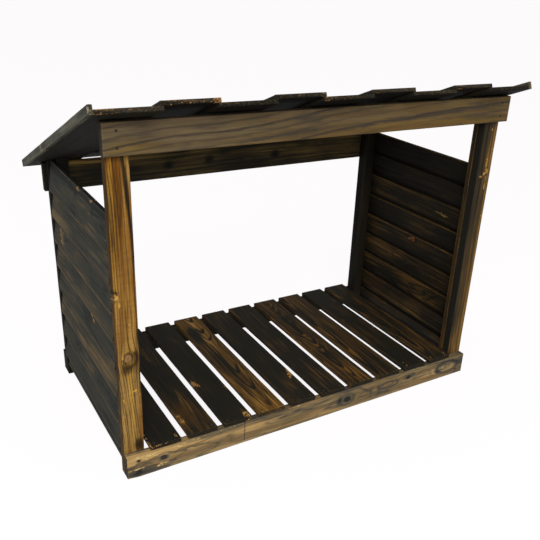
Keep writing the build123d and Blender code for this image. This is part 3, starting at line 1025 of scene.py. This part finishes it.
# what some boards have of their own, counted from the ground
sideWoods = {
    "left": {
        1: {"burn": 1.25, "tone": 0.2},
        2: {"burn": 1.15, "rubs": ((540, 40, 12, 10, 0.8), (548, 20, 8, 16, 0.7))},
        3: {
            "knots": ((152, 31, 6, 0.8),), "spots": ((152, 31, 24, 12, 0.4),), "burn": 0.98,
            "rubs": ((530, 40, 14, 12, 0.7),),
        },
        4: {"burn": 0.6, "tone": 0.5},
        5: {
            "burn": 0.9, "tone": 0.5, "spots": ((300, 66, 40, 12, 0.3),),
            "rubs": ((302, 58, 9, 7, 1.5), (318, 46, 6, 5, 1.3)),
        },
        6: {"burn": 0.7, "tone": 0.6, "spots": ((450, 40, 90, 20, 0.3),)},
        7: {
            "burn": 0.7, "tone": 0.7, "rubs": ((66, 46, 18, 14, 0.75), (84, 24, 22, 10, 0.65)),
            "spots": ((80, 40, 60, 16, -0.3), (330, 30, 90, 20, 0.3)),
        },
        8: {
            "burn": 0.85, "tone": 0.3, "spots": ((60, 20, 90, 20, -0.2),),
            "rubs": ((520, 14, 14, 4, 0.8),),
        },
        9: {
            "rubs": ((255, 74, 14, 5, 1.0), (362, 76, 12, 5, 1.1), (330, 74, 20, 2, 0.5)),
            "burn": 0.8, "faceBurnAndShade": (1.0, 0.0, 0.0, 0.3),
            "spots": ((240, 60, 12, 12, 0.6), (372, 56, 10, 16, 0.5)),
        },
    },
    "right": {
        1: {"burn": 0.75, "tone": 0.7},
        2: {"burn": 0.72, "taper": 0.04},
        3: {"eyes": ((200, 44, 90, 14, 7.0),), "burn": 0.78, "taper": -0.05, "ringWidth": 5.0},
        4: {
            "eyes": ((288, 44, 60, 15, 18.0), (110, 34, 50, 16, 16.0)), "burn": 0.78, "taper": 0.05,
            "ringWidth": 5.5,
        },
        5: {"knots": ((231, 68, 9, 0.8),), "rubs": ((246, 66, 6, 5, 1.1), (228, 74, 5, 4, 0.8))},
        6: {"burn": 0.95, "taper": 0.03},
        7: {"burn": 0.80, "rubs": ((112, 42, 16, 3, 1.2), (140, 46, 20, 2, 0.9))},
        8: {"burn": 1.0},
        9: {"burn": 1.15},
    },
}
dice = np.random.default_rng(7)
for side, look in sideLook.items():
    for k in range(9):
        node = f"side_{side}_board_{k + 1}"
        low, high = boxOf(node)
        thick = sideBuild["thick"] * mm
        show = unit(*look["outward"])
        along = np.cross(up, show)
        length, tall = high[1] - low[1], high[2] - low[2]
        lean = (high[0] - low[0]) - thick
        inner = high[0] if side == "left" else low[0]      # the face on the battens
        origin = np.array([inner, (low[1] + high[1]) / 2, low[2]]) - along * length / 2
        outline = [(0, lean), (tall, 0), (tall, thick), (0, lean + thick)]
        wood = {
            "seed": look["seed"] + 5 * k,
            "pith": (dice.uniform(-10, 80), dice.uniform(-50, -20)),
            "ringWidth": dice.uniform(4.0, 6.0),
            "sway": dice.uniform(4, 9),
            "taper": dice.uniform(-0.04, 0.04),
            "burn": dice.uniform(*look["burn"]),
            "tone": dice.uniform(0.3, 0.8),
            "edgeLight": dice.uniform(*look["edgeLight"]),
            "edgeReach": look["edgeReach"],
            "faceBurnAndShade": look["faceBurnAndShade"],
            "capBurn": 0.4,
            **sideWoods[side].get(k + 1, {}),
        }
        lap = (500 * length, look["lap"], 1e5, 7, 0.9)     # painted shade under the lap, end to end
        wood["spots"] = (*wood.get("spots", ()), lap)
        place = (origin, along, np.array(up, float), show)
        makeBoard(node, "side_board", look["finish"], wood, place, outline, length)
        rise = min(sideBuild["nailUp"] * mm, 0.5 * tall)
        outX = inner + show[0] * (thick + lean * (1 - rise / tall))
        for batten in (f"batten_front_{side}", f"batten_back_{side}"):
            point = (outX, middleOf(batten)[1], low[2] + rise)
            nailSpots["nailHead"].append((point, unit(show[0] * tall, 0, lean)))
print("side boards made")

# roof boards: along is down the slope from the front edge, across is to the left
roofLook = {"thick": 9.5, "nailApart": 42.0}
downSlope = unit(0, math.cos(roofAngle), -math.sin(roofAngle))
roofNormal = unit(0, math.sin(roofAngle), math.cos(roofAngle))


# a roof board from its solid's box: the box's top edge is the upper front corner
def roofSawn(node, thick):
    low, high = boxOf(node)
    length = (high[1] - low[1] - thick * math.sin(roofAngle)) / math.cos(roofAngle)
    middleX = (low[0] + high[0]) / 2
    corner = np.array([middleX, low[1], high[2] - thick * math.cos(roofAngle)])
    across = np.cross(roofNormal, downSlope)
    place = (corner + roofNormal * thick / 2, downSlope, across, roofNormal)
    return dict(place=place, outline=rectangle(high[0] - low[0], thick), length=length)


roofWoods = {
    "roof_lower_1": {
        # its underside is burnt less than the others': less painted shade
        "burn": 0.5, "faceBurnAndShade": (0.2, 0.2, 0.0, 0.5),
        "rubs": ((0, 56, 6, 8, 1.3), (0, 34, 5, 16, 0.35), (0, -40, 5, 16, 0.3)), "capBurn": -0.1,
    },
    "roof_upper_1": {"burn": 0.6, "tone": 0.7, "rubs": ((0, -55, 8, 9, 1.5), (0, 46, 6, 8, 0.8))},
    "roof_upper_2": {
        "burn": 0.95, "capBurn": -0.25, "edgeLight": 0.6, "rubs": ((0, -54, 5, 8, 0.7),),
    },
    "roof_upper_3": {"burn": 0.9, "capBurn": -0.6, "rubs": ((0, 30, 4, 20, 0.3),)},
    "roof_upper_4": {"burn": 0.9, "capBurn": -0.7, "rubs": ((0, 50, 4, 12, 0.6),)},
    "roof_lower_3": {"burn": 0.8, "capBurn": -0.2, "rubs": ((0, 60, 5, 8, 0.8),)},
    "roof_lower_4": {"burn": 0.8, "capBurn": -0.5, "rubs": ((0, 0, 4, 60, 0.35),)},
    "verge_left": {
        "burn": 0.62, "tone": 0.3, "edgeLight": 0.6, "capBurn": 0.9,
        "rubs": ((452, 0, 30, 12, 0.75), (70, -3, 30, 5, 0.8), (1, 4, 4, 8, 0.6)),
    },
    "verge_right": {"burn": 0.5, "tone": 0.3, "edgeLight": 0.9},
}
roofNodes = [f"roof_lower_{k + 1}" for k in range(5)] + [f"roof_upper_{k + 1}" for k in range(4)]
for k, node in enumerate(roofNodes):
    wood = {
        "seed": 211 + 3 * k, "burn": dice.uniform(0.6, 0.95), "tone": 0.4, "edgeLight": 0.8,
        # the back value burns the undersides near black: painted shade under the roof
        "faceBurnAndShade": (0.2, 0.2, 0.0, 1.1), "pith": (dice.uniform(-50, 50), dice.uniform(-50, -25)),
        "taper": dice.uniform(-0.04, 0.04), **roofWoods.get(node, {}),
    }
    made = roofSawn(node, roofLook["thick"] * mm)
    makeBoard(node, "roof_board", roofFinish, wood, **made)
    origin, along, across, show = made["place"]
    for header in ("header_front", "header_back"):
        gap = (middleOf(header)[1] - origin[1]) / math.cos(roofAngle)
        point = origin + along * gap + show * roofLook["thick"] * mm / 2
        nailPair("nailHead", point, across * roofLook["nailApart"] * mm, show)
for k, node in enumerate(("verge_left", "verge_right")):
    wood = {"seed": 271 + 3 * k, **roofWoods[node]}
    made = roofSawn(node, 2 * roofLook["thick"] * mm)
    makeBoard(node, "verge_strip", vergeFinish, wood, **made)
print("roof made")

nailBuild = {
    "around": 12,
    "sunk": 0.6 * mm,                    # how deep its lowest ring lies in the wood
    "reach": (1.0, 1.0, 0.86, 0.5),      # rings' radii, as shares of the head's
    "dome": (0.45, 0.9),                 # upper rings' heights, as shares of the crown
}
rustLook = {
    "colour": (52, 34, 20),
    "stretch": (260.0, 260.0, 260.0),
    "from": 0.42,
    "to": 0.66,
    "dull": 0.8,             # share of the metal lost
    "rough": 0.3,
}
nailLook = {
    "nailHead": {
        "radius": 2.3, "proud": 0.45, "crown": 0.35, "colour": (92, 78, 60), "metal": 0.7,
        "rough": 0.42,
    },
    # the punched nails' holes: a near-black disc of painted shade, barely proud
    "nailHoleShade": {
        "radius": 2.8, "proud": 0.10, "crown": 0.05, "colour": (18, 16, 13), "metal": 0.2,
        "rough": 0.8,
    },
}


# dull steel with rust in it, near black for the painted shade in nail holes: metal where noise is
# low, brown and rough where high
def nailFinish(name, look):
    f = Finish(name)
    place = f.node("ShaderNodeTexCoord", output=3)
    rust = f.step(f.noise(place, rustLook["stretch"]), rustLook["from"], rustLook["to"])
    f.feed("Base Color", f.mix(rust, look["colour"], rustLook["colour"]))
    f.feed("Metallic", look["metal"] - rust * look["metal"] * rustLook["dull"])
    f.feed("Roughness", look["rough"] + rust * rustLook["rough"])
    return f.material


# nail heads, and the near-black discs of painted shade in nail holes: one crowned disc turned
# round its own axis, copied to every place at once; point = place + ring radius * (side * cos +
# over * sin) + way * ring height
def makeNails(name, look):
    radius, proud, crown = look["radius"] * mm, look["proud"] * mm, look["crown"] * mm
    around = nailBuild["around"]
    reach = np.array(nailBuild["reach"]) * radius
    dome = [proud + share * crown for share in nailBuild["dome"]]
    rise = np.array([-nailBuild["sunk"], proud, *dome])
    ring = np.arange(around)
    angle = ring * 2 * math.pi / around
    points = np.array([point for point, way in nailSpots[name]], float)
    ways = np.array([way for point, way in nailSpots[name]], float)
    side = np.cross(ways, np.where(np.abs(ways[:, :1]) > 0.9, [[0.0, 1.0, 0.0]], [[1.0, 0.0, 0.0]]))
    side = side / np.linalg.norm(side, axis=1, keepdims=True)
    over = np.cross(ways, side)
    circle = side[:, None, :] * np.cos(angle)[:, None] + over[:, None, :] * np.sin(angle)[:, None]
    rings = points[:, None, None, :] + circle[:, None, :, :] * reach[:, None, None]
    rings = rings + ways[:, None, None, :] * rise[:, None, None]
    tops = points + ways * (proud + crown)
    heads = np.concatenate([rings.reshape(len(points), -1, 3), tops[:, None, :]], 1)
    last = (len(reach) - 1) * around
    crowns = np.stack([last + ring, last + (ring + 1) % around, 0 * ring + last + around], -1)
    firstPoint = np.arange(len(points))[:, None, None] * heads.shape[1]
    mesh = meshFrom(name, heads, [
        ((faces + firstPoint).reshape(-1, faces.shape[1]), True)
        for faces in (ringQuads(len(reach), around), crowns, ring[None, ::-1])
    ])
    mesh.materials.append(nailFinish(name, look))
    nails = bpy.data.objects.new(name, mesh)
    scene.collection.objects.link(nails)
    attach(nails, "root")


for name, look in nailLook.items():
    makeNails(name, look)
print("nails made")

floorLook = {
    "half": 150.0,
    "colour": (0.10, 0.10, 0.10, 1.0),
    "light": (1.0, 0.982, 0.991, 1.0),
    "glow": 0.93,
}
floorMesh = bpy.data.meshes.new("paleFloor")
h = floorLook["half"]
floorMesh.from_pydata([(-h, -h, 0), (h, -h, 0), (h, h, 0), (-h, h, 0)], [], [(0, 1, 2, 3)])
paleFloor = bpy.data.objects.new("paleFloor", floorMesh)
scene.collection.objects.link(paleFloor)
paleFloor.visible_diffuse = False      # the floor stays white and lights no undersides
paleFloor.visible_glossy = False
floorFinish = Finish("paleFloor")
floorFinish.feed("Base Color", floorLook["colour"])
floorFinish.feed("Roughness", 1.0)
floorFinish.feed("Specular IOR Level", 0.0)
floorFinish.feed("Emission Color", floorLook["light"])
floorFinish.feed("Emission Strength", floorLook["glow"])
floorMesh.materials.append(floorFinish.material)

studioLook = {"sky": 0.45, "skyColour": (1.0, 1.0, 1.0, 1.0), "aimHeight": 0.4}
world = bpy.data.worlds.new("studio")
scene.world = world
world.use_nodes = True
background = world.node_tree.nodes["Background"]
background.inputs["Color"].default_value = studioLook["skyColour"]
background.inputs["Strength"].default_value = studioLook["sky"]

lamps = {
    "keyLamp": {"from": (-1.3, -3.6, 2.8), "size": 2.4, "power": 140.0},
    "fillLamp": {"from": (-3.4, -0.8, 1.8), "size": 2.0, "power": 25.0},
}
for lampName, lamp in lamps.items():
    data = bpy.data.lights.new(lampName, "AREA")
    data.energy, data.size = lamp["power"], lamp["size"]
    lampObject = bpy.data.objects.new(lampName, data)
    lampObject.location = lamp["from"]
    aim = np.array([0, 0, studioLook["aimHeight"]]) - np.array(lamp["from"])
    yaw = math.atan2(aim[1], aim[0]) - math.pi / 2
    pitch = math.atan2(math.hypot(aim[0], aim[1]), -aim[2])
    lampObject.rotation_euler = (pitch, 0, yaw)
    scene.collection.objects.link(lampObject)

cameraLook = {
    "from": (-0.90609, -1.55204, 1.11463),
    "turn": (65.5034, -2.57045, -30.96589),
    "lens": 45.175,
    "shift": (-0.0298, 0.0222),
}
cameraData = bpy.data.cameras.new("viewCamera")
cameraData.lens = cameraLook["lens"]
cameraData.shift_x, cameraData.shift_y = cameraLook["shift"]
viewCamera = bpy.data.objects.new("viewCamera", cameraData)
viewCamera.location = cameraLook["from"]
viewCamera.rotation_euler = [math.radians(a) for a in cameraLook["turn"]]
scene.collection.objects.link(viewCamera)
scene.camera = viewCamera
print("stage set")
